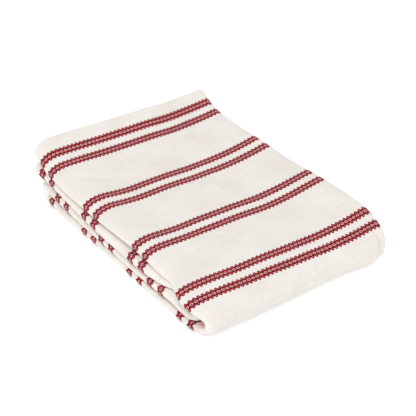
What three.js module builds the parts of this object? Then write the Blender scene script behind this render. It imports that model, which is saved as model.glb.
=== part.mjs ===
// A woven tablecloth, folded into a soft packet that lies on a table. Millimetres, +Z up.
// The whole cloth is one sheet. It is doubled end to end, both long edges are folded in to the
// middle, it is halved along the middle, and the long strip is turned back under itself at the front.
// That makes sixteen sheets: eight double leaves stacked between the table and the top.
// X runs across the packet from the four stacked folds (-X) to the single spine (+X), and Y runs
// from the turned front (-Y) to the loose ends at the back (+Y).
import * as THREE from "three";

// Cloth
const CLOTH = 1.6; // thickness of the sheet
const HALF_LEAF = 1.1; // from a leaf's middle to the middle of each of its two sheets
const HALF_LEAF_AT_BACK = 2.6; // the same where the doubled end puffs up at the back
const CLEARANCE = 0.15; // air on each side where two leaves are pressed together
const LEAVES = 8; // double leaves in the stack

// Packet
const WIDTH = 300; // table contact, from the stacked folds to the spine
const SPINE_DEPTH = 9; // depth of the spine's turn
const SPINE_SPLIT = 0.47; // height of the crease between the upper and lower spines over the top's
const FLAP_CLEARANCE = 4; // from the long hems to the start of the spine's turn
const SIDE_SETTLE = 36; // how far in from the side folds the leaves even out
const SHOULDER_DEPTH = 26; // how far in from its nose the top's rounded left side reaches
const SHOULDER_LIP = 1.9; // above 1 the nose of that side lies low
const SPINE_SETTLE = 95; // how far in from the spine the top starts to rise
const SPINE_RISE = 1.6; // exponent of that rise
const TURN_START = 30; // where the front turn begins, from the front of the table contact
const TURN_SLACK = 0.8; // how much more the innermost leaves stand apart at the turn
const TURN_SLACK_END = 90; // where they are pressed together again
const TURN_DROOP = 7; // how far the top of the outermost turn hangs below a level one
const DRAW_IN = { a: 8, b: 2, spine: -4.5 }; // how far each edge is drawn in at the very front
const LOWER_END = 399; // back end of the bottom leaf
const END_STEP = 29; // how much further back the top leaf ends
const PUFF_START = 340; // from here to the back the doubled end puffs up

// Bends. A pressed bend is round, and a roomy one has a deeper and squarer outline.
const TIGHT_BEND = 2.1; // half height of a pressed bend
const ROOMY_BEND = 5; // half height of a roomy one
const NOSE_DEPTH_GAIN = 0.4; // how much deeper than its half height a roomy side fold's nose is
const NOSE_SQUARENESS = 2.1; // exponents of the roomy outlines, 2 being an ellipse
const SPINE_SQUARENESS = 3;
const TURN_SQUARENESS = 3.2;

// The stack from the front to the back. y is the place, top the height in the middle, and up what
// the spine side adds. dc, cb and ba are the heights of the creases between the side folds, which
// are named a, b, c and d from the top down, and side is the height where fold a rounds over.
// a, b, c and d are where each side fold's nose lies, from the left of the table contact, and spine is
// how far the spine stands past the right of it.
const STACK = [
  { y: 0, top: 42.5, up: 3, dc: 10.5, cb: 20, ba: 30, side: 42, a: -7, b: 6, c: 0, d: -1, spine: 3 },
  { y: 20, top: 44.4, up: 6, dc: 10, cb: 21, ba: 31.5, side: 43.5, a: -10, b: 5, c: -1, d: -3.5, spine: 5.5 },
  { y: 45, top: 48, up: 11.5, dc: 9.5, cb: 24.5, ba: 34, side: 47, a: -6, b: 4.5, c: -2, d: -3, spine: 8 },
  { y: 68, top: 49, up: 13.5, dc: 9, cb: 29.5, ba: 39.5, side: 49.5, a: 1.5, b: 4, c: -1, d: -2.5, spine: 8.5 },
  { y: 95, top: 50, up: 14.5, dc: 8.5, cb: 22, ba: 36.5, side: 50.5, a: 3, b: 2, c: 0, d: -2.5, spine: 8.5 },
  { y: 150, top: 52, up: 13, dc: 9, cb: 19, ba: 35.5, side: 52.5, a: 6, b: -1, c: 0, d: -1, spine: 8 },
  { y: 210, top: 53, up: 11.5, dc: 10, cb: 21, ba: 36.5, side: 53.5, a: 5, b: -1, c: 0.5, d: 0.5, spine: 6 },
  { y: 275, top: 55, up: 15, dc: 11, cb: 25.5, ba: 38.5, side: 55.5, a: 3, b: -1, c: 0.5, d: 1.5, spine: 4.5 },
  { y: 340, top: 60.5, up: 13, dc: 12, cb: 29.5, ba: 43, side: 61, a: 1.5, b: 1, c: 1.5, d: 1.5, spine: 2 },
  { y: 395, top: 71.8, up: 8.5, dc: 13, cb: 34, ba: 50.5, side: 72, a: 2.5, b: 2.5, c: 3, d: 3.5, spine: 1 },
  { y: 430, top: 91, up: 4, dc: 14, cb: 38, ba: 58, side: 86, a: 6, b: 0, c: 6, d: 5, spine: 2 },
];

// The low swell along the top's left side and the dip beside it. The wave starts a little behind
// the front and has faded away at the back.
const TOP_WAVE = [
  { x: -30, lift: 0 },
  { x: 0, lift: 0.6 },
  { x: 28, lift: 1.8 },
  { x: 52, lift: -0.4 },
  { x: 76, lift: -2 },
  { x: 115, lift: -0.4 },
  { x: 150, lift: 0 },
  { x: 310, lift: 0 },
];
const WAVE_START = 110; // places along Y, where the wave starts,
const WAVE_FULL = 190; // has its full height
const WAVE_FADE = 300; // and starts to fade

// How far the front turn reaches forward of TURN_START, across the packet, for the outermost leaf
const FRONT_REACH = [
  { x: -10, reach: 42.5 },
  { x: 70, reach: 40.5 },
  { x: 140, reach: 37 },
  { x: 205, reach: 33 },
  { x: 245, reach: 33 },
  { x: 280, reach: 35.5 },
  { x: 310, reach: 22 },
];

// The reach of each leaf's turn, from the innermost pair of leaves to the outermost. The jump
// between the second and the third is the hollow that shows at the packet's front left corner. A
// leaf with a lag stays beside its neighbour longer before it turns.
const TURN_SHARE = [
  { leaf: 0, share: 0.1, lag: 0 },
  { leaf: 1, share: 0.35, lag: 0.35 },
  { leaf: 2, share: 0.8, lag: 0 },
  { leaf: 3, share: 1, lag: 0 },
];

// Mesh steps along each run of the cross-section, from one long hem to the other, and the run's leaf
// counted from the turn's inside. The two ends of a turned run lie on different leaves.
const SECTION_RUNS = [
  { run: "flap", fold: "a", steps: 4, from: 2, to: 2 },
  { run: "nose", fold: "a", steps: 8, from: 2, to: 3 },
  { run: "panel", fold: "a", steps: 13, from: 3, to: 3 },
  { run: "spine", fold: "a", steps: 8, from: 3, to: 0 },
  { run: "panel", fold: "b", steps: 4, from: 0, to: 0 },
  { run: "nose", fold: "b", steps: 6, from: 0, to: 1 },
  { run: "flap", fold: "b", steps: 4, from: 1, to: 1 },
];

// Mesh steps along the strip
const UPPER_STEPS = 11;
const TURN_STEPS = 11;
const LOWER_STEPS = 6;
const END_FOLD_STEPS = 4;

const mix = (a, b, t) => a + (b - a) * t;
const clamp = (t) => Math.min(1, Math.max(0, t));
const smooth = (t) => clamp(t) ** 2 * (3 - 2 * clamp(t));

// A smooth curve through one column of a table, read at a place in its key column.
function along(table, key, place, column) {
  const last = table.length - 1;
  let i = 0;
  while (i < last - 1 && place > table[i + 1][key]) i += 1;
  const row = (n) => table[Math.min(last, Math.max(0, n))];
  const slope = (n) => {
    const span = row(n + 1)[key] - row(n - 1)[key];
    return (row(n + 1)[column] - row(n - 1)[column]) / span;
  };
  const span = row(i + 1)[key] - row(i)[key];
  const t = clamp((place - row(i)[key]) / span);
  const rise = row(i + 1)[column] - row(i)[column];
  const start = slope(i) * span;
  const end = slope(i + 1) * span;
  return row(i)[column] + t * (start + t * (3 * rise - 2 * start - end + t * (start + end - 2 * rise)));
}

// Half the spacing of a leaf's two sheets: wider where the doubled end of the upper half puffs up.
function halfLeaf(y, upper) {
  const puff = upper ? smooth((y - PUFF_START) / (LOWER_END + END_STEP - PUFF_START)) : 0;
  return mix(HALF_LEAF, HALF_LEAF_AT_BACK, puff);
}

// How far the top's wave raises it.
function topWave(x, y) {
  const start = smooth((y - WAVE_START) / (WAVE_FULL - WAVE_START));
  const fade = smooth((y - WAVE_FADE) / (LOWER_END - WAVE_FADE));
  return along(TOP_WAVE, "x", x, "lift") * start * (1 - fade);
}

// Height of a leaf's middle. Leaves are counted from the turn's inside, 0 to 3, in each half. They
// lie evenly through most of the packet, are gathered into the four folds at the side, and into an
// upper and a lower half at the spine. The two innermost stand a little apart near the front turn.
function leafHeight(leaf, upper, x, y) {
  const level = upper ? LEAVES / 2 + leaf : LEAVES / 2 - 1 - leaf;
  const floor = HALF_LEAF + CLOTH / 2;
  const margin = halfLeaf(y, upper) + CLOTH / 2 + CLEARANCE;
  const toSpine = clamp((x - WIDTH + SPINE_SETTLE) / SPINE_SETTLE);
  const evenTop = along(STACK, "y", y, "top") + along(STACK, "y", y, "up") * toSpine ** SPINE_RISE;
  const total = evenTop + (upper ? topWave(x, y) : 0);
  const top = total - margin + CLEARANCE;
  const middle = mix(floor, top, level / (LEAVES - 1));
  const slack = TURN_SLACK * smooth((TURN_SLACK_END - y) / (TURN_SLACK_END - TURN_START));
  const creases = ["dc", "cb", "ba", "side"].map((name) => along(STACK, "y", y, name));
  const apart = margin + (leaf === 0 ? slack : 0);
  const fold = Math.floor(level / 2);
  const below = fold === 0 ? floor : creases[fold - 1] + apart;
  const atSide = level % 2 === 0 ? below : creases[fold] - apart;
  const share = leaf / (LEAVES / 2 - 1);
  const inner = total * SPINE_SPLIT + (upper ? 1 : -1) * (margin + slack);
  const atSpine = mix(inner, upper ? top : floor, share);
  const settled = mix(atSide, middle, smooth(x / SIDE_SETTLE));
  return mix(settled, atSpine, smooth(toSpine));
}

// The outline of a bend at an angle from 0 to half a turn: how far out it is, from 0 to 1 and back,
// and how far across, from 0 to 1.
function bendOutline(angle, halfHeight, squareness) {
  const power = 2 / mix(2, squareness, clamp((halfHeight - TIGHT_BEND) / (ROOMY_BEND - TIGHT_BEND)));
  const cosine = Math.cos(angle);
  const out = Math.max(0, Math.sin(angle)) ** power;
  return { out, across: (1 - Math.sign(cosine) * Math.abs(cosine) ** power) / 2 };
}

// A station is a place along the strip. It is either in the upper or lower half, at a share of the
// way from the front turn to the back end, or in the turn, at an angle from the upper half's start.
const TOP_OF_TURN = { upper: true, share: 0 };
const FOOT_OF_TURN = { upper: false, share: 0 };

// Where a leaf's middle lies at x. In the turn the upper and lower half are joined by a rounded
// outline that reaches forward. Each leaf's end lies a little further back than the one below.
function leafPlace(leaf, x, station) {
  if ("angle" in station) {
    const above = leafPlace(leaf, x, TOP_OF_TURN);
    const below = leafPlace(leaf, x, FOOT_OF_TURN);
    const { share, lag } = TURN_SHARE[leaf];
    const reach = along(FRONT_REACH, "x", x, "reach") * share;
    const angle = station.angle - lag * Math.sin(2 * station.angle);
    const { out, across } = bendOutline(angle, (above.z - below.z) / 2, TURN_SQUARENESS);
    const droop = TURN_DROOP * share * out * (1 - across) ** 2;
    return { y: TURN_START - reach * out, z: mix(above.z, below.z, across) - droop };
  }
  const level = station.upper ? LEAVES / 2 + leaf : LEAVES / 2 - 1 - leaf;
  const end = LOWER_END + END_STEP * smooth(level / (LEAVES - 1));
  const y = mix(TURN_START, end, station.share);
  return { y, z: leafHeight(leaf, station.upper, x, y) };
}

// How far a side fold's nose or the spine lies to the right of the table contact's left end. The
// cloth's fold a makes a at the top and d at the table, and its fold b makes b and c between them.
function edgePlace(name, station) {
  if ("angle" in station) {
    const above = edgePlace(name, TOP_OF_TURN);
    const below = edgePlace(name, FOOT_OF_TURN);
    return mix(above, below, (1 - Math.cos(station.angle)) / 2) + DRAW_IN[name] * Math.sin(station.angle);
  }
  const column = station.upper ? name : { a: "d", b: "c", spine: "spine" }[name];
  const { y } = leafPlace(LEAVES / 2 - 1, 0, station);
  return along(STACK, "y", y, column) + (name === "spine" ? WIDTH : 0);
}

// 1 where a leaf is the top of the packet, 0 where it isn't, with a blend down the front turn.
function onTop(leaf, station) {
  if (leaf !== LEAVES / 2 - 1) return 0;
  return "angle" in station ? (1 + Math.cos(station.angle)) / 2 : Number(station.upper);
}

// One point of the strip's cross-section, t of the way along a run of it.
function sectionPoint(run, t, station) {
  const nose = edgePlace(run.fold, station);
  const spineX = edgePlace("spine", station) - SPINE_DEPTH;
  const noseLeaves = run.fold === "a" ? [2, 3] : [0, 1];
  const [low, high] = noseLeaves.map((leaf) => leafPlace(leaf, nose, station));
  const noseHalf = Math.hypot(high.y - low.y, high.z - low.z) / 2;
  const noseDepth = noseHalf + Math.max(0, noseHalf - TIGHT_BEND) * NOSE_DEPTH_GAIN;
  const shoulder = Math.max(noseDepth, SHOULDER_DEPTH);
  const depths = [run.from, run.to].map((leaf) => mix(noseDepth, shoulder, onTop(leaf, station)));
  if (run.run === "nose" || run.run === "spine") {
    const atNose = run.run === "nose";
    const starts = atNose ? depths.map((depth) => nose + depth) : [spineX, spineX];
    const from = leafPlace(run.from, starts[0], station);
    const to = leafPlace(run.to, starts[1], station);
    const half = Math.hypot(to.y - from.y, to.z - from.z) / 2;
    const { out, across } = bendOutline(Math.PI * t, half, atNose ? NOSE_SQUARENESS : SPINE_SQUARENESS);
    const x = atNose ? nose + mix(depths[0], depths[1], across) * (1 - out) : spineX + SPINE_DEPTH * out;
    const rise = across ** (atNose ? mix(1, SHOULDER_LIP, onTop(run.to, station)) : 1);
    return new THREE.Vector3(x, mix(from.y, to.y, rise), mix(from.z, to.z, rise));
  }
  const noseStart = nose + depths[0];
  const ends = { flap: [spineX - FLAP_CLEARANCE, noseStart], panel: [noseStart, spineX] }[run.run];
  const x = run.fold === "a" ? mix(ends[0], ends[1], t) : mix(ends[1], ends[0], t);
  const { y, z } = leafPlace(run.from, x, station);
  return new THREE.Vector3(x, y, z);
}

// The stations across the strip, one for each column of the mesh.
function sectionStations() {
  const stations = [];
  SECTION_RUNS.forEach((run) => {
    const first = stations.length ? 1 : 0;
    for (let i = first; i <= run.steps; i += 1) stations.push({ run, t: i / run.steps });
  });
  return stations;
}

// The stations along the strip, from the lower back end round the front turn to the upper back end.
function stripStations() {
  const stations = [];
  for (let i = 0; i <= LOWER_STEPS; i += 1) stations.push({ upper: false, share: 1 - i / LOWER_STEPS });
  for (let i = 1; i < TURN_STEPS; i += 1) stations.push({ angle: Math.PI * (1 - i / TURN_STEPS) });
  for (let i = 0; i <= UPPER_STEPS; i += 1) stations.push({ upper: true, share: i / UPPER_STEPS });
  return stations;
}

// The unit vectors across and along a grid of points, and the normal between them.
function directions(grid, row, column) {
  const at = (r, c) =>
    grid[Math.min(grid.length - 1, Math.max(0, r))][Math.min(grid[0].length - 1, Math.max(0, c))];
  const across = at(row, column + 1).clone().sub(at(row, column - 1)).normalize();
  const lengthwise = at(row + 1, column).clone().sub(at(row - 1, column)).normalize();
  const normal = lengthwise.clone().cross(across).normalize();
  return { lengthwise, normal };
}

// The middle of the sheet: along one side of every leaf to the back of the upper half, round the
// doubled end there, and back along the other side.
function sheetGrid() {
  const strip = stripStations();
  const across = sectionStations();
  const leaves = strip.map((station) => across.map(({ run, t }) => sectionPoint(run, t, station)));
  const offsetRow = (row, angle) =>
    leaves[row].map((point, column) => {
      const { lengthwise, normal } = directions(leaves, row, column);
      const half = halfLeaf(point.y, strip[row].upper === true);
      return point
        .clone()
        .addScaledVector(normal, half * Math.cos(angle))
        .addScaledVector(lengthwise, half * Math.sin(angle));
    });
  const last = strip.length - 1;
  const grid = strip.map((station, row) => offsetRow(row, 0));
  for (let i = 1; i < END_FOLD_STEPS; i += 1) grid.push(offsetRow(last, (Math.PI * i) / END_FOLD_STEPS));
  for (let row = last; row >= 0; row -= 1) grid.push(offsetRow(row, Math.PI));
  return grid;
}

// A closed solid of the cloth's thickness on a grid of points.
function thickenedSheet(grid) {
  const rows = grid.length;
  const columns = grid[0].length;
  const positions = [];
  [1, -1].forEach((side) => {
    grid.forEach((line, row) => {
      line.forEach((point, column) => {
        const { normal } = directions(grid, row, column);
        positions.push(...point.clone().addScaledVector(normal, (side * CLOTH) / 2).toArray());
      });
    });
  });
  const vertex = (side, row, column) => (side * rows + row) * columns + column;
  const faces = [];
  const quad = (a, b, c, d) => faces.push(a, b, c, a, c, d);
  for (let row = 0; row < rows - 1; row += 1) {
    for (let column = 0; column < columns - 1; column += 1) {
      const corners = (side) => [
        vertex(side, row, column),
        vertex(side, row + 1, column),
        vertex(side, row + 1, column + 1),
        vertex(side, row, column + 1),
      ];
      quad(...corners(0));
      quad(...corners(1).reverse());
    }
  }
  const rim = [];
  for (let column = 0; column < columns - 1; column += 1) rim.push([0, column]);
  for (let row = 0; row < rows - 1; row += 1) rim.push([row, columns - 1]);
  for (let column = columns - 1; column > 0; column -= 1) rim.push([rows - 1, column]);
  for (let row = rows - 1; row > 0; row -= 1) rim.push([row, 0]);
  rim.forEach((here, i) => {
    const next = rim[(i + 1) % rim.length];
    quad(vertex(0, ...here), vertex(0, ...next), vertex(1, ...next), vertex(1, ...here));
  });
  const geometry = new THREE.BufferGeometry();
  geometry.setAttribute("position", new THREE.Float32BufferAttribute(positions, 3));
  geometry.setIndex(faces);
  return geometry;
}

// The folded cloth, with its origin on the table under the middle of the packet.
function foldedCloth() {
  const geometry = thickenedSheet(sheetGrid());
  geometry.computeBoundingBox();
  const { min, max } = geometry.boundingBox;
  geometry.translate(-(min.x + max.x) / 2, -(min.y + max.y) / 2, -min.z);
  geometry.computeVertexNormals();
  const cotton = new THREE.MeshStandardMaterial({ color: 0xf0ebe0, roughness: 0.95, metalness: 0 });
  const mesh = new THREE.Mesh(geometry, cotton);
  mesh.name = "cloth";
  return mesh;
}

const tablecloth = new THREE.Group();
tablecloth.add(foldedCloth());

export default tablecloth;
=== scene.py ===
import math

import bpy
import numpy as np
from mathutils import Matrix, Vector


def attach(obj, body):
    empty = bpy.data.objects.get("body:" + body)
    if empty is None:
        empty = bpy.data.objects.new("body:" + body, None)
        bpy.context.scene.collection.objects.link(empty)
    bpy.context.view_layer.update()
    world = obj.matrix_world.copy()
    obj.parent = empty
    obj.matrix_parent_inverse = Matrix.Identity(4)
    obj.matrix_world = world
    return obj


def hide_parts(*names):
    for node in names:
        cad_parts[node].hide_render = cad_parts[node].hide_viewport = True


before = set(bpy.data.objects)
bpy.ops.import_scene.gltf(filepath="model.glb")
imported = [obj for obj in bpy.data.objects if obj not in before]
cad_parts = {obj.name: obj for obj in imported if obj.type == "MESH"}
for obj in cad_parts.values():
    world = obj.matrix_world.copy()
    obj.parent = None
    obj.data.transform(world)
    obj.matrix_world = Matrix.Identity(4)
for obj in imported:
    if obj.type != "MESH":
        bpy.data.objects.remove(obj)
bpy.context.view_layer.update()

MM = 0.001


def table(names, rows):
    """A short table as one array for each named column."""
    return dict(zip(names.split(), np.array(rows, float).T))


# Camera. Its place is an azimuth and elevation in degrees round a point on the table, in metres. The
# lens and the sensor are millimetres.
CAMERA_AZIMUTH = -35.35
CAMERA_ELEVATION = 30.57
CAMERA_DISTANCE = 1.7536
CAMERA_TARGET = (0.03722, 0.04332, 0.0)
CAMERA_LENS = 103.85
CAMERA_CLIP = (0.05, 50.0)
SENSOR_WIDTH = 36.0

# Floor and light, in metres and watts
FLOOR_SIZE = 6.0
FLOOR_COLOUR = (0.93, 0.93, 0.93)
FLOOR_GLOW = 0.24  # the white sweep of the studio is lit from below
WORLD_COLOUR = (0.985, 1.005, 1.045)
WORLD_STRENGTH = 0.73
LAMPS = [
    {"name": "key", "place": (-0.9, -0.9, 2.9), "size": 2.0, "power": 28.5},
    {"name": "fill", "place": (2.0, -0.6, 1.6), "size": 2.4, "power": 9},
    {"name": "low_left", "place": (-1.9, -0.6, 0.5), "size": 1.4, "power": 8},
]

# The sheet and its leaves, as in the solid
CLOTH = 1.6  # thickness of the sheet
LEAVES = 8
HALF_LEAF = 1.1  # from a leaf's middle to the middle of each of its two sheets
HALF_LEAF_AT_BACK = 2.6  # the same at the back end of the upper half, which stands open
PUFF_START = 340.0  # where that half starts to open
CLEARANCE = 0.15  # half the air between leaves that lie on each other
PACKET_MIDDLE = (149.68, 208.98)  # the part's origin, from the left and the front of the table contact

# The packet
WIDTH = 300.0
LOWER_END = 399.0  # the back end of the lowest leaf
END_STEP = 29.0  # how much further back the highest one ends
SIDE_SETTLE = 36.0  # the leaves are gathered into side folds over this width
SPINE_SETTLE = 95.0  # and into two halves at the spine over this one
SPINE_RISE = 1.6  # power of the top's rise over that width
SPINE_DEPTH = 9.0  # how far out the spine's bend reaches
SPINE_SPLIT = 0.47  # share of the height that the lower half has at the spine
SPINE_SQUARENESS = 3.0
FLAP_CLEARANCE = 4.0  # from the long hems to the spine

# The side folds. A bend of squareness 2 is an ellipse.
NOSE_DEPTH_GAIN = 0.4  # how much deeper than half its height a roomy fold's bend is
NOSE_SQUARENESS = 2.1
TIGHT_BEND = 2.1  # a bend of this half height is an ellipse
ROOMY_BEND = 5.0  # and from this one on it has its full squareness
SHOULDER_DEPTH = 26.0  # how far in from its nose the top's rounded left side reaches
SHOULDER_LIP = 1.9  # above 1 the nose of that side lies low
FOLD_LEAVES = {"a": (2, 3), "b": (0, 1)}  # the leaves that each side fold joins, from the turn's inside
LOWER_NAME = {"a": "d", "b": "c", "spine": "spine"}  # what each is called below the front turn

# The front turn
TURN_START = 30.0  # where the leaves start to bend
TURN_SLACK = 0.8  # extra air round the innermost bend
TURN_SLACK_END = 90.0
TURN_DROOP = 7.0  # how far the top of the outermost turn hangs below a level one
TURN_SQUARENESS = 3.2
DRAW_IN = {"a": 8.0, "b": 2.0, "spine": -4.5}  # the sides move in on their way round

# The stack from the front to the back: the height of the top's middle, its rise at the spine, the
# heights of the creases between the side folds and of the top at the side, and where each side fold
# and the spine lie
STACK = table(
    "y top rise d_c c_b b_a side a b c d spine",
    [
        (0, 42.5, 3, 10.5, 20, 30, 42, -7, 6, 0, -1, 3),
        (20, 44.4, 6, 10, 21, 31.5, 43.5, -10, 5, -1, -3.5, 5.5),
        (45, 48, 11.5, 9.5, 24.5, 34, 47, -6, 4.5, -2, -3, 8),
        (68, 49, 13.5, 9, 29.5, 39.5, 49.5, 1.5, 4, -1, -2.5, 8.5),
        (95, 50, 14.5, 8.5, 22, 36.5, 50.5, 3, 2, 0, -2.5, 8.5),
        (150, 52, 13, 9, 19, 35.5, 52.5, 6, -1, 0, -1, 8),
        (210, 53, 11.5, 10, 21, 36.5, 53.5, 5, -1, 0.5, 0.5, 6),
        (275, 55, 15, 11, 25.5, 38.5, 55.5, 3, -1, 0.5, 1.5, 4.5),
        (340, 60.5, 13, 12, 29.5, 43, 61, 1.5, 1, 1.5, 1.5, 2),
        (395, 71.8, 8.5, 13, 34, 50.5, 72, 2.5, 2.5, 3, 3.5, 1),
        (430, 91, 4, 14, 38, 58, 86, 6, 0, 6, 5, 2),
    ],
)

# How far the front turn reaches forward, from the packet's left to its right
FRONT_REACH = table(
    "x reach",
    [(-10, 42.5), (70, 40.5), (140, 37), (205, 33), (245, 33), (280, 35.5), (310, 22)],
)
# Each leaf's share of that reach, from the inside out, and how far its bend lags behind
TURN_SHARE = table("share lag", [(0.1, 0), (0.35, 0.35), (0.8, 0), (1, 0)])

# The swell of the top across the packet, and where along it the swell starts, is full and ends
TOP_WAVE = table(
    "x lift",
    [(-30, 0), (0, 0.6), (28, 1.8), (52, -0.4), (76, -2), (115, -0.4), (150, 0), (310, 0)],
)
WAVE_START = 110.0
WAVE_FULL = 190.0
WAVE_FADE = 300.0

# Small creases of the top, each along a short line, and the faint waves of its unevenness
SOFT_CREASES = table(
    "x0 y0 x1 y1 width raised",
    [
        (22, 346, 66, 324, 7, -1.1),
        (30, 362, 80, 338, 9, 0.7),
        (14, 214, 36, 202, 5, -0.9),
        (20, 228, 52, 214, 7, 0.6),
        (236, 94, 284, 82, 5, -0.6),
        (240, 108, 286, 97, 6, 0.5),
        (60, 118, 112, 98, 8, -0.5),
        (196, 330, 262, 318, 9, -0.6),
        (120, 226, 176, 216, 10, 0.5),
    ],
)
UNEVEN = table("wave_x wave_y lag size", [(150, 410, 0.4, 0.3), (-97, 230, 1.9, 0.25), (61, -173, 3.1, 0.15)])

# Runs of the cross-section from one long hem to the other: kind, side fold, mesh steps, and the
# leaves it starts and ends on, counted from the turn's inside
SECTION_RUNS = [
    ("flap", "a", 6, 2, 2),
    ("nose", "a", 14, 2, 3),
    ("panel", "a", 76, 3, 3),
    ("spine", "a", 22, 3, 0),
    ("panel", "b", 6, 0, 0),
    ("nose", "b", 14, 0, 1),
    ("flap", "b", 6, 1, 1),
]

# Mesh steps along the strip for the outer sheet, which shows, and for the hidden inner one
OUTER_STEPS = {"lower": 80, "turn": 64, "upper": 120}
INNER_STEPS = {"lower": 12, "turn": 16, "upper": 24}
END_FOLD_STEPS = 8

# The stripes on the flat cloth. u grows from the middle of the packet's top to its right, v towards
# the back from the front of its top.
PAIR_PLACE = 0.5  # v of the middle of the front pair of stripes
PAIR_PITCH = 121.6
STRIPE_OFFSET = 12.7  # from the middle of a pair to the middle of each stripe
STRIPE_EDGE = 5.3  # half width of the solid part of a stripe
STRIPE_SOFTNESS = 0.35
TURN_SLIP = 6.0  # how much further the stripes lie forward on the lower side folds
MOTIF = 6.72  # length of the repeat along a stripe

# The repeat as ellipses, mirrored about its middle and the stripe's: place and half sizes along and
# across the stripe, and the softness of the edge. A bead stands half out of the stripe, each frames a
# pale spot, and the shade is the darker yarns between the rings and the beads.
FIGURE = {
    "ring": {"place": (0.0, 0.0), "sizes": (2.3, 1.85), "softness": 0.14},
    "eye": {"place": (0.0, 0.0), "sizes": (1.45, 1.1), "softness": 0.25},
    "bead": {"place": (0.0, 5.5), "sizes": (2.35, 2.25), "softness": 0.14},
    "spot": {"place": (0.0, 5.05), "sizes": (0.65, 0.32), "softness": 0.22},
    "shade": {"place": (1.9, 2.9), "sizes": (1.5, 1.2), "softness": 0.4},
}
RED = (0.38, 0.002, 0.022)
DARK_RED = (0.24, 0.001, 0.012)
RED_SOFTNESS = 0.12
PALE = (0.90, 0.58, 0.53)
EYE_COLOUR = (0.11, 0.022, 0.02)
SHADE_COLOUR = (0.10, 0.001, 0.008)
SHADE_SHARE = {"shade": 0.8, "bead": 0.25}

# The plain weave, with slubs along its yarns and faint clouds. Noise scales are cells per millimetre.
YARN = 0.75  # spacing of the yarns
YARN_ROUNDNESS = 0.35  # power of a yarn's rise between two crossings
CREAM = (0.83, 0.783, 0.722)
CREAM_SHADE = (0.76, 0.707, 0.628)
CREAM_SOFTNESS = 0.14
SLUB_SCALE = 0.35  # across the yarns
SLUB_LENGTH_SCALE = 0.03  # along them
SLUB_DETAIL = 3.0
CLOUD_SCALE = 0.02
CLOUD_DETAIL = 2.0
CLOUD_SHARE = 0.4
NOISE_MIDDLE = 0.5

# The hem round the cloth, turned in and stitched
HEM_WIDTH = 11.0
HEM_SOFTNESS = 0.5
SEAM_PLACE = 9.5
STITCH = 3.2  # length of one stitch with its gap
STITCH_SIZES = (1.1, 0.28)
STITCH_SOFTNESS = 0.3
THREAD = (0.86, 0.84, 0.78)
THREAD_SHARE = 0.6

# The upright crease near the right end of the front turn: a groove in the relief, with painted shade along it
CREASE_PLACE = 128.0  # its u
CREASE_WIDTH = 1.6
CREASE_MIDDLE = -55.0  # its v
CREASE_REACH = 32.0  # half its length
CREASE_END_SOFTNESS = 12.0
# painted shade in the crease, the tan of its darker line
CREASE_PAINTED_SHADE = (0.62, 0.52, 0.42)
CREASE_PAINTED_SHADE_SHARE = 0.35

# The painted warm shade inside the hollow at the front left corner, its place and half sizes as u and v
HOLLOW_PLACE = (-180.0, -76.0)
HOLLOW_SIZES = (20.0, 30.0)
HOLLOW_SOFTNESS = 0.4
HOLLOW_PAINTED_SHADE = (0.95, 0.62, 0.47)
HOLLOW_PAINTED_SHADE_SHARE = 0.85

# Heights of the relief, in millimetres, and the cloth's finish
RELIEF = {"weave": 0.05, "slub": 0.18, "stripes": 0.12, "hem": 0.35, "stitch": -0.15, "crease": -0.8}
BUMP_STRENGTH = 0.6
FINISH = {"Roughness": 0.92, "Specular IOR Level": 0.2, "Sheen Weight": 0.08, "Sheen Roughness": 0.5}


def mix(a, b, t):
    return a + (b - a) * t


def clamp(t):
    return np.clip(t, 0.0, 1.0)


def smooth(t):
    t = clamp(t)
    return t * t * (3 - 2 * t)


def along(rows, key, place, column):
    """A smooth curve through one column of a table, read at places in its key column."""
    keys, values = rows[key], rows[column]
    ends = np.arange(len(keys))
    after, before = np.minimum(ends + 1, ends[-1]), np.maximum(ends - 1, 0)
    slopes = (values[after] - values[before]) / (keys[after] - keys[before])
    i = np.clip(np.searchsorted(keys, place) - 1, 0, len(keys) - 2)
    span = keys[i + 1] - keys[i]
    t = clamp((place - keys[i]) / span)
    rise = values[i + 1] - values[i]
    start, end = slopes[i] * span, slopes[i + 1] * span
    return values[i] + t * (start + t * (3 * rise - 2 * start - end + t * (start + end - 2 * rise)))


def half_leaf(y, part):
    """Half the spacing of a leaf's two sheets."""
    if part != "upper":
        return np.full(np.shape(y), HALF_LEAF)
    puffed = smooth((y - PUFF_START) / (LOWER_END + END_STEP - PUFF_START))
    return mix(HALF_LEAF, HALF_LEAF_AT_BACK, puffed)


def level_of(leaf, upper):
    """A leaf's place in the whole stack, counted from the table."""
    return LEAVES // 2 + leaf if upper else LEAVES // 2 - 1 - leaf


def top_swell(x, y):
    """The low swell of the top's left part, between the front and the back."""
    start = smooth((y - WAVE_START) / (WAVE_FULL - WAVE_START))
    fade = smooth((y - WAVE_FADE) / (LOWER_END - WAVE_FADE))
    return along(TOP_WAVE, "x", x, "lift") * (start * (1 - fade))


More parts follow.
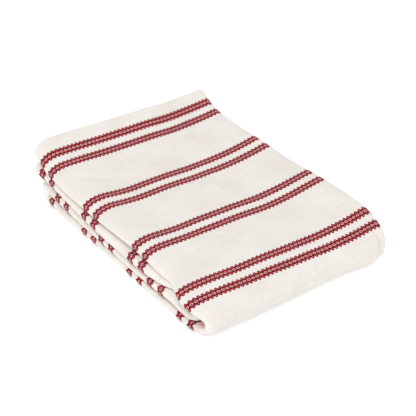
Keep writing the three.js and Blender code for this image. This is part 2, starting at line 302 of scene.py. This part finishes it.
def leaf_height(leaf, upper, x, y):
    """Height of a leaf's middle, gathered into folds at the side and into halves at the spine."""
    level = level_of(leaf, upper)
    floor = HALF_LEAF + CLOTH / 2
    margin = half_leaf(y, "upper" if upper else "lower") + CLOTH / 2 + CLEARANCE
    to_spine = clamp((x - WIDTH + SPINE_SETTLE) / SPINE_SETTLE)
    total = along(STACK, "y", y, "top") + along(STACK, "y", y, "rise") * to_spine**SPINE_RISE
    if upper:
        total = total + top_swell(x, y)
    top = total - margin + CLEARANCE
    middle = mix(floor, top, level / (LEAVES - 1))
    slack = TURN_SLACK * smooth((TURN_SLACK_END - y) / (TURN_SLACK_END - TURN_START))
    creases = [along(STACK, "y", y, name) for name in ("d_c", "c_b", "b_a", "side")]
    apart = margin + (slack if leaf == 0 else 0)
    fold = level // 2
    below = floor if fold == 0 else creases[fold - 1] + apart
    at_side = below if level % 2 == 0 else creases[fold] - apart
    inner = total * SPINE_SPLIT + (1 if upper else -1) * (margin + slack)
    at_spine = mix(inner, top if upper else floor, leaf / (LEAVES / 2 - 1))
    settled = mix(at_side, middle, smooth(x / SIDE_SETTLE))
    height = mix(settled, at_spine, smooth(to_spine))
    if level == LEAVES - 1:
        height = height + soft_creases(x, y) * smooth(x / SIDE_SETTLE)
    return height


def soft_creases(x, y):
    """Small creases of the top: troughs and ridges along short lines, and a faint overall unevenness."""
    height = 0.0
    for x0, y0, x1, y1, width, raised in zip(*SOFT_CREASES.values()):
        run_x, run_y = x1 - x0, y1 - y0
        length = math.hypot(run_x, run_y)
        ahead = ((x - x0) * run_x + (y - y0) * run_y) / length
        aside = ((x - x0) * run_y - (y - y0) * run_x) / length
        past = np.maximum(np.maximum(-ahead, ahead - length), 0)
        height = height + raised * np.exp(-((aside / width) ** 2)) * np.exp(-((past / (2 * width)) ** 2))
    for wave_x, wave_y, lag, size in zip(*UNEVEN.values()):
        height = height + size * np.sin(2 * math.pi * (x / wave_x + y / wave_y) + lag)
    return height


def bend_outline(angle, half_height, squareness):
    """How far out a bend is at an angle from 0 to half a turn, and how far across it has come."""
    power = 2 / mix(2, squareness, clamp((half_height - TIGHT_BEND) / (ROOMY_BEND - TIGHT_BEND)))
    cosine = np.cos(angle)
    out = np.maximum(0, np.sin(angle)) ** power
    return out, (1 - np.sign(cosine) * np.abs(cosine) ** power) / 2


TOP_OF_TURN = ("upper", np.zeros((1, 1)))
FOOT_OF_TURN = ("lower", np.zeros((1, 1)))


def leaf_place(leaf, x, station):
    """Where a leaf's middle lies at x, as Y and Z. A station is a part of the strip and its rows."""
    part, at = station
    if part == "turn":
        above_y, above_z = leaf_place(leaf, x, TOP_OF_TURN)
        below_y, below_z = leaf_place(leaf, x, FOOT_OF_TURN)
        reach = along(FRONT_REACH, "x", x, "reach") * TURN_SHARE["share"][leaf]
        angle = at - TURN_SHARE["lag"][leaf] * np.sin(2 * at)
        out, across = bend_outline(angle, (above_z - below_z) / 2, TURN_SQUARENESS)
        droop = TURN_DROOP * TURN_SHARE["share"][leaf] * out * (1 - across) ** 2
        return TURN_START - reach * out, mix(above_z, below_z, across) - droop
    upper = part == "upper"
    end = LOWER_END + END_STEP * smooth(level_of(leaf, upper) / (LEAVES - 1))
    y = mix(TURN_START, end, at) + 0 * x
    return y, leaf_height(leaf, upper, x, y)


def edge_place(name, station):
    """How far a side fold's nose or the spine lies to the right of the table contact's left end."""
    part, at = station
    if part == "turn":
        above, below = edge_place(name, TOP_OF_TURN), edge_place(name, FOOT_OF_TURN)
        return mix(above, below, (1 - np.cos(at)) / 2) + DRAW_IN[name] * np.sin(at)
    column = name if part == "upper" else LOWER_NAME[name]
    y, _ = leaf_place(LEAVES // 2 - 1, np.zeros((1, 1)), station)
    return along(STACK, "y", y, column) + (WIDTH if name == "spine" else 0)


def on_top(leaf, station):
    """1 where a leaf is the top of the packet, 0 where it isn't, with a blend down the front turn."""
    part, at = station
    if leaf != LEAVES // 2 - 1:
        return 0.0
    return {"upper": 1.0, "lower": 0.0, "turn": (1 + np.cos(at)) / 2}[part]


def half_gap(begin, end):
    """Half the distance between two rows of places, each as Y and Z."""
    return np.hypot(end[0] - begin[0], end[1] - begin[1]) / 2


def section_points(run, t, station):
    """Points of one run of the cross-section, a row for each station and a column for each t."""
    kind, fold, _, first, last = run
    nose = edge_place(fold, station)
    spine_x = edge_place("spine", station) - SPINE_DEPTH
    nose_half = half_gap(*(leaf_place(leaf, nose, station) for leaf in FOLD_LEAVES[fold]))
    nose_depth = nose_half + np.maximum(0, nose_half - TIGHT_BEND) * NOSE_DEPTH_GAIN
    shoulder = np.maximum(nose_depth, SHOULDER_DEPTH)
    depths = [mix(nose_depth, shoulder, on_top(leaf, station)) for leaf in (first, last)]
    if kind in ("nose", "spine"):
        starts = [nose + depth for depth in depths] if kind == "nose" else [spine_x, spine_x]
        begin, end = (leaf_place(leaf, start, station) for leaf, start in zip((first, last), starts))
        squareness = NOSE_SQUARENESS if kind == "nose" else SPINE_SQUARENESS
        out, across = bend_outline(math.pi * t, half_gap(begin, end), squareness)
        if kind == "nose":
            x = nose + mix(depths[0], depths[1], across) * (1 - out)
            across = across ** mix(1.0, SHOULDER_LIP, on_top(last, station))
        else:
            x = spine_x + SPINE_DEPTH * out
        return np.stack([x, mix(begin[0], end[0], across), mix(begin[1], end[1], across)], -1)
    outer_end = spine_x - FLAP_CLEARANCE if kind == "flap" else spine_x
    inward = t if (kind == "flap") == (fold == "a") else 1 - t
    x = mix(outer_end, nose + depths[0], inward)
    y, z = leaf_place(first, x, station)
    return np.stack([x, y, z], -1)


def section_stations():
    """Each run with the shares of its columns."""
    stations = []
    for run in SECTION_RUNS:
        first = 1 if stations else 0
        stations.append((run, (np.arange(first, run[2] + 1) / run[2])[None, :]))
    return stations


def leaf_grid(steps):
    """The middle of the folded strip as rows from the lower back end, round the front turn, to the
    upper back end, with each row's part of the strip."""
    lower = ("lower", 1 - np.arange(steps["lower"] + 1)[:, None] / steps["lower"])
    turn = ("turn", math.pi * (1 - np.arange(1, steps["turn"])[:, None] / steps["turn"]))
    upper = ("upper", np.arange(steps["upper"] + 1)[:, None] / steps["upper"])
    rows, parts = [], []
    for station in (lower, turn, upper):
        rows.append(np.concatenate([section_points(run, t, station) for run, t in section_stations()], 1))
        parts += [station[0]] * len(station[1])
    return np.concatenate(rows), parts


def unit(vectors):
    tiny = 1e-9
    return vectors / np.maximum(np.linalg.norm(vectors, axis=-1, keepdims=True), tiny)


def directions(grid):
    """Unit vectors along the strip and normal to it at every point of a grid."""
    padded = np.pad(grid, ((1, 1), (1, 1), (0, 0)), mode="edge")
    across = unit(padded[1:-1, 2:] - padded[1:-1, :-2])
    lengthwise = unit(padded[2:, 1:-1] - padded[:-2, 1:-1])
    return lengthwise, unit(np.cross(lengthwise, across))


def leaf_half_grid(grid, parts):
    return np.stack([half_leaf(row[:, 1], part) for row, part in zip(grid, parts)])[..., None]


def sheet_grid():
    """The middle of the sheet: the hidden inner sheet from its hem to the back of the upper half,
    the doubled end there, and the outer sheet back to its hem."""
    inner, inner_parts = leaf_grid(INNER_STEPS)
    outer, outer_parts = leaf_grid(OUTER_STEPS)
    _, inner_normal = directions(inner)
    lengthwise, normal = directions(outer)
    inner_half = leaf_half_grid(inner, inner_parts)
    half = leaf_half_grid(outer, outer_parts)
    inner_rows = (inner + inner_normal * inner_half)[:-1]
    angles = math.pi * np.arange(END_FOLD_STEPS)[:, None, None] / END_FOLD_STEPS
    doubled = outer[-1] + half[-1] * (normal[-1] * np.cos(angles) + lengthwise[-1] * np.sin(angles))
    outer_rows = (outer - normal * half)[::-1]
    return np.concatenate([inner_rows, doubled, outer_rows]), len(inner_rows) + END_FOLD_STEPS


def steps_between(grid, axis):
    return np.linalg.norm(np.diff(grid, axis=axis), axis=-1)


def flat_places(grid, first_outer):
    """Where each point lies on the flat cloth, as u and v, and how far it is from the nearest edge."""
    rows, columns = grid.shape[:2]
    top_row = first_outer + OUTER_STEPS["upper"]
    # the columns where the panel of the top, the spine and the inner side fold with its flap start
    starts = np.cumsum([0] + [run[2] for run in SECTION_RUNS])
    top, spine, inner_nose, inner_flap = starts[2], starts[3], starts[5], starts[6]
    middle = (top + spine) // 2
    u = np.concatenate([np.zeros((rows, 1)), np.cumsum(steps_between(grid, 1), 1)], 1)
    v = np.concatenate([np.zeros((1, columns)), np.cumsum(steps_between(grid, 0), 0)], 0)
    # the threads run straight over the side folds
    v[:, :top] = v[:, top, None]
    v[:, inner_nose:inner_flap] = v[:, inner_flap, None]
    # and slip forward a little on their way round the front
    way = clamp((np.arange(rows) - top_row) / OUTER_STEPS["turn"])[:, None]
    hold = clamp((np.arange(columns) - top) / (spine - top))[None, :]
    hem = np.minimum(np.minimum(u, u[:, -1:] - u), np.minimum(v, v[-1:] - v))
    v = v + TURN_SLIP * way * (1 - hold)
    return u - u[:, middle : middle + 1], v[top_row] - v, hem


def sheet_mesh(name, grid, flat):
    """A closed mesh of the cloth's thickness on a grid of points. One UV map holds its places on the
    flat cloth, the other the distance from the cloth's edge and a place along it."""
    rows, columns = grid.shape[:2]
    _, normal = directions(grid)
    points = np.concatenate([(grid + side * normal * CLOTH / 2).reshape(-1, 3) for side in (1, -1)])
    points = (points - np.array([*PACKET_MIDDLE, 0.0])) * MM
    index = np.arange(rows * columns).reshape(rows, columns)
    quads = np.stack([index[:-1, :-1], index[1:, :-1], index[1:, 1:], index[:-1, 1:]], -1).reshape(-1, 4)
    other = rows * columns
    border = np.concatenate([index[0, :-1], index[:-1, -1], index[-1, :0:-1], index[:0:-1, 0]])
    ahead = np.roll(border, -1)
    rim = np.stack([border, ahead, ahead + other, border + other], -1)
    faces = np.concatenate([quads, quads[:, ::-1] + other, rim])
    mesh = bpy.data.meshes.new(name)
    mesh.vertices.add(len(points))
    mesh.vertices.foreach_set("co", points.ravel())
    mesh.loops.add(faces.size)
    mesh.loops.foreach_set("vertex_index", faces.ravel())
    mesh.polygons.add(len(faces))
    mesh.polygons.foreach_set("loop_start", np.arange(0, faces.size, 4))
    mesh.update(calc_edges=True)
    mesh.polygons.foreach_set("use_smooth", np.ones(len(faces), bool))
    u, v, hem = flat
    for map_name, pair in (("flat", (u, v)), ("hem", (hem, u + v))):
        places = np.concatenate([np.stack(pair, -1).reshape(-1, 2)] * 2)
        layer = mesh.uv_layers.new(name=map_name)
        layer.uv.foreach_set("vector", (places[faces.ravel()] * MM).ravel())
    return mesh


class Nodes:
    """Short calls for the nodes of one material."""

    def __init__(self, material):
        material.use_nodes = True
        self.tree = material.node_tree
        self.shader = self.tree.nodes["Principled BSDF"]

    def add(self, kind, **settings):
        node = self.tree.nodes.new(kind)
        for name, value in settings.items():
            setattr(node, name, value)
        return node

    def feed(self, socket, value):
        if isinstance(value, bpy.types.NodeSocket):
            self.tree.links.new(value, socket)
        else:
            socket.default_value = value

    def math(self, operation, *values):
        node = self.add("ShaderNodeMath", operation=operation)
        for socket, value in zip(node.inputs, values):
            self.feed(socket, value)
        return node.outputs[0]

    def plus(self, first, second):
        return self.math("ADD", first, second)

    def minus(self, first, second):
        return self.math("SUBTRACT", first, second)

    def times(self, first, second):
        return self.math("MULTIPLY", first, second)

    def larger(self, first, second):
        return self.math("MAXIMUM", first, second)

    def apart(self, first, second):
        return self.math("ABSOLUTE", self.minus(first, second))

    def repeated(self, value, length):
        """The value's place in a repeat of this length, from the middle of the repeat."""
        return self.math("WRAP", value, length / 2, -length / 2)

    def below(self, value, edge, softness):
        """1 where the value is below the edge, 0 above it, with a soft step between."""
        node = self.add("ShaderNodeMapRange", interpolation_type="SMOOTHSTEP")
        names = {"Value": value, "From Min": edge - softness, "From Max": edge + softness}
        for name, found in (names | {"To Min": 1.0, "To Max": 0.0}).items():
            self.feed(node.inputs[name], found)
        return node.outputs[0]

    def ellipse(self, u, v, place, sizes, softness):
        """1 inside an ellipse round a place, 0 outside."""
        shares = [
            self.math("DIVIDE", self.minus(value, middle), size)
            for value, middle, size in zip((u, v), place, sizes)
        ]
        squares = [self.math("POWER", share, 2.0) for share in shares]
        return self.below(self.math("SQRT", self.plus(*squares)), 1.0, softness)

    def mix(self, share, first, second):
        node = self.add("ShaderNodeMix", data_type="RGBA")
        for socket, value in zip((node.inputs[0], node.inputs[6], node.inputs[7]), (share, first, second)):
            if isinstance(value, tuple):
                value = (*value, 1.0)
            self.feed(socket, value)
        return node.outputs[2]

    def noise(self, u, v, detail):
        vector = self.add("ShaderNodeCombineXYZ")
        self.feed(vector.inputs[0], u)
        self.feed(vector.inputs[1], v)
        node = self.add("ShaderNodeTexNoise")
        node.inputs["Scale"].default_value = 1.0
        node.inputs["Detail"].default_value = detail
        self.feed(node.inputs["Vector"], vector.outputs[0])
        return node.outputs["Fac"]

    def places(self, map_name):
        """Both coordinates of a UV map, in millimetres."""
        uv = self.add("ShaderNodeUVMap", uv_map=map_name)
        split = self.add("ShaderNodeSeparateXYZ")
        self.feed(split.inputs[0], uv.outputs[0])
        return [self.times(split.outputs[axis], 1 / MM) for axis in (0, 1)]


def weave_height(nodes, u, v):
    """Height of a plain weave: at each crossing one yarn lies over the other, turn about."""
    wave_u, wave_v = (nodes.math("SINE", nodes.times(place, math.pi / YARN)) for place in (u, v))
    high_u, high_v = nodes.math("ABSOLUTE", wave_u), nodes.math("ABSOLUTE", wave_v)
    warp = nodes.times(high_u, nodes.math("POWER", high_v, YARN_ROUNDNESS))
    weft = nodes.times(high_v, nodes.math("POWER", high_u, YARN_ROUNDNESS))
    over = nodes.math("GREATER_THAN", nodes.times(wave_u, wave_v), 0.0)
    return nodes.plus(weft, nodes.times(over, nodes.minus(warp, weft)))


def stripe_figure(nodes, u, v):
    """The areas of the stripes' figure by name, each 1 inside and 0 outside. Red is the whole stripe."""
    from_pair = nodes.repeated(nodes.minus(v, PAIR_PLACE), PAIR_PITCH)
    across = nodes.apart(nodes.math("ABSOLUTE", from_pair), STRIPE_OFFSET)
    from_middle = nodes.math("ABSOLUTE", nodes.repeated(u, MOTIF))
    areas = {name: nodes.ellipse(from_middle, across, **mark) for name, mark in FIGURE.items()}
    areas["red"] = nodes.larger(nodes.below(across, STRIPE_EDGE, STRIPE_SOFTNESS), areas["bead"])
    areas["pale"] = nodes.larger(nodes.minus(areas["ring"], areas["eye"]), areas["spot"])
    return areas


def slubs(nodes, u, v):
    """Uneven thickness of both sets of yarns."""
    warp, weft = (
        nodes.noise(nodes.times(u, scale_u), nodes.times(v, scale_v), SLUB_DETAIL)
        for scale_u, scale_v in ((SLUB_SCALE, SLUB_LENGTH_SCALE), (SLUB_LENGTH_SCALE, SLUB_SCALE))
    )
    return nodes.times(nodes.plus(warp, weft), 0.5)


def cream_colour(nodes, u, v, slub):
    clouds = nodes.noise(nodes.times(u, CLOUD_SCALE), nodes.times(v, CLOUD_SCALE), CLOUD_DETAIL)
    shade = nodes.plus(nodes.times(slub, 1 - CLOUD_SHARE), nodes.times(clouds, CLOUD_SHARE))
    return nodes.mix(nodes.below(shade, NOISE_MIDDLE, CREAM_SOFTNESS), CREAM, CREAM_SHADE)


def stripe_colour(nodes, areas, slub):
    red = nodes.mix(nodes.below(slub, NOISE_MIDDLE, RED_SOFTNESS), RED, DARK_RED)
    dark = nodes.larger(*(nodes.times(areas[name], share) for name, share in SHADE_SHARE.items()))
    shaded = nodes.mix(dark, red, SHADE_COLOUR)
    return nodes.mix(areas["eye"], nodes.mix(areas["pale"], shaded, PALE), EYE_COLOUR)


def hem_areas(nodes):
    """The hem that is turned in along the edges of the cloth, and its stitches."""
    from_edge, along_edge = nodes.places("hem")
    turned_in = nodes.below(from_edge, HEM_WIDTH, HEM_SOFTNESS)
    along_stitch = nodes.repeated(along_edge, STITCH)
    stitch = nodes.ellipse(along_stitch, from_edge, (0.0, SEAM_PLACE), STITCH_SIZES, STITCH_SOFTNESS)
    return turned_in, stitch


# Where the upright crease lies: it sets the crease's groove in the relief and where its painted shade goes
def front_crease(nodes, u, v):
    across = nodes.below(nodes.apart(u, CREASE_PLACE), CREASE_WIDTH, CREASE_WIDTH)
    on_front = nodes.below(nodes.apart(v, CREASE_MIDDLE), CREASE_REACH, CREASE_END_SOFTNESS)
    return nodes.times(across, on_front)


def relief(nodes, heights):
    """Bump from the layers of relief, each times its own height."""
    height = 0.0
    for name, size in RELIEF.items():
        height = nodes.plus(height, nodes.times(heights[name], size))
    bump = nodes.add("ShaderNodeBump")
    bump.inputs["Strength"].default_value = BUMP_STRENGTH
    bump.inputs["Distance"].default_value = MM
    nodes.feed(bump.inputs["Height"], height)
    return bump.outputs[0]


def woven_cotton():
    """Cream plain weave with pairs of dark red stripes of small ringed motifs."""
    material = bpy.data.materials.new("woven_cotton")
    nodes = Nodes(material)
    u, v = nodes.places("flat")
    areas = stripe_figure(nodes, u, v)
    slub = slubs(nodes, u, v)
    hem, stitch = hem_areas(nodes)
    crease = front_crease(nodes, u, v)
    # where the painted warm shade of the hollow goes, kept off the stripes
    hollow_shade = nodes.ellipse(u, v, HOLLOW_PLACE, HOLLOW_SIZES, HOLLOW_SOFTNESS)
    hollow_shade = nodes.times(nodes.times(hollow_shade, HOLLOW_PAINTED_SHADE_SHARE), nodes.minus(1.0, areas["red"]))

    colour = nodes.mix(areas["red"], cream_colour(nodes, u, v, slub), stripe_colour(nodes, areas, slub))
    colour = nodes.mix(nodes.times(stitch, THREAD_SHARE), colour, THREAD)
    # painted shade along the upright crease at the front right
    colour = nodes.mix(nodes.times(crease, CREASE_PAINTED_SHADE_SHARE), colour, CREASE_PAINTED_SHADE)
    # painted warm shade inside the hollow at the front left corner
    colour = nodes.mix(hollow_shade, colour, HOLLOW_PAINTED_SHADE)
    heights = {
        "weave": weave_height(nodes, u, v),
        "slub": slub,
        "stripes": nodes.plus(areas["red"], areas["pale"]),
        "hem": hem,
        "stitch": stitch,
        "crease": crease,
    }
    nodes.feed(nodes.shader.inputs["Base Color"], colour)
    nodes.feed(nodes.shader.inputs["Normal"], relief(nodes, heights))
    for name, value in FINISH.items():
        nodes.shader.inputs[name].default_value = value
    return material


def folded_cloth():
    grid, first_outer = sheet_grid()
    mesh = sheet_mesh("tablecloth", grid, flat_places(grid, first_outer))
    mesh.materials.append(woven_cotton())
    piece = bpy.data.objects.new("tablecloth", mesh)
    bpy.context.scene.collection.objects.link(piece)
    return piece


def aim(thing, towards):
    """Turn a camera or lamp so that it looks along a direction."""
    thing.rotation_mode = "QUATERNION"
    thing.rotation_quaternion = towards.to_track_quat("-Z", "Y")


def place_camera():
    camera = bpy.data.objects.new("camera", bpy.data.cameras.new("camera"))
    bpy.context.scene.collection.objects.link(camera)
    azimuth, elevation = math.radians(CAMERA_AZIMUTH), math.radians(CAMERA_ELEVATION)
    level = math.cos(elevation)
    back = Vector((math.sin(azimuth) * level, -math.cos(azimuth) * level, math.sin(elevation)))
    camera.location = Vector(CAMERA_TARGET) + back * CAMERA_DISTANCE
    aim(camera, -back)
    camera.data.lens = CAMERA_LENS
    camera.data.sensor_width = SENSOR_WIDTH
    camera.data.clip_start, camera.data.clip_end = CAMERA_CLIP
    bpy.context.scene.camera = camera


def pale_floor():
    mesh = bpy.data.meshes.new("floor")
    half = FLOOR_SIZE / 2
    corners = [(-half, -half, 0), (half, -half, 0), (half, half, 0), (-half, half, 0)]
    mesh.from_pydata(corners, [], [(0, 1, 2, 3)])
    floor = bpy.data.objects.new("floor", mesh)
    bpy.context.scene.collection.objects.link(floor)
    material = bpy.data.materials.new("pale_floor")
    material.use_nodes = True
    shader = material.node_tree.nodes["Principled BSDF"]
    shader.inputs["Base Color"].default_value = (*FLOOR_COLOUR, 1)
    shader.inputs["Emission Color"].default_value = (*WORLD_COLOUR, 1)
    shader.inputs["Emission Strength"].default_value = FLOOR_GLOW
    shader.inputs["Roughness"].default_value = 1.0
    shader.inputs["Specular IOR Level"].default_value = 0.0
    mesh.materials.append(material)


def studio_light():
    world = bpy.data.worlds.new("studio")
    world.use_nodes = True
    background = world.node_tree.nodes["Background"]
    background.inputs["Color"].default_value = (*WORLD_COLOUR, 1)
    background.inputs["Strength"].default_value = WORLD_STRENGTH
    bpy.context.scene.world = world
    for row in LAMPS:
        lamp = bpy.data.lights.new(row["name"], "AREA")
        lamp.size = row["size"]
        lamp.energy = row["power"]
        holder = bpy.data.objects.new(row["name"], lamp)
        holder.location = row["place"]
        aim(holder, -Vector(row["place"]))
        bpy.context.scene.collection.objects.link(holder)
    bpy.context.scene.view_settings.view_transform = "Standard"


place_camera()
studio_light()
pale_floor()
cloth = folded_cloth()
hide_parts("cloth")
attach(cloth, "root")
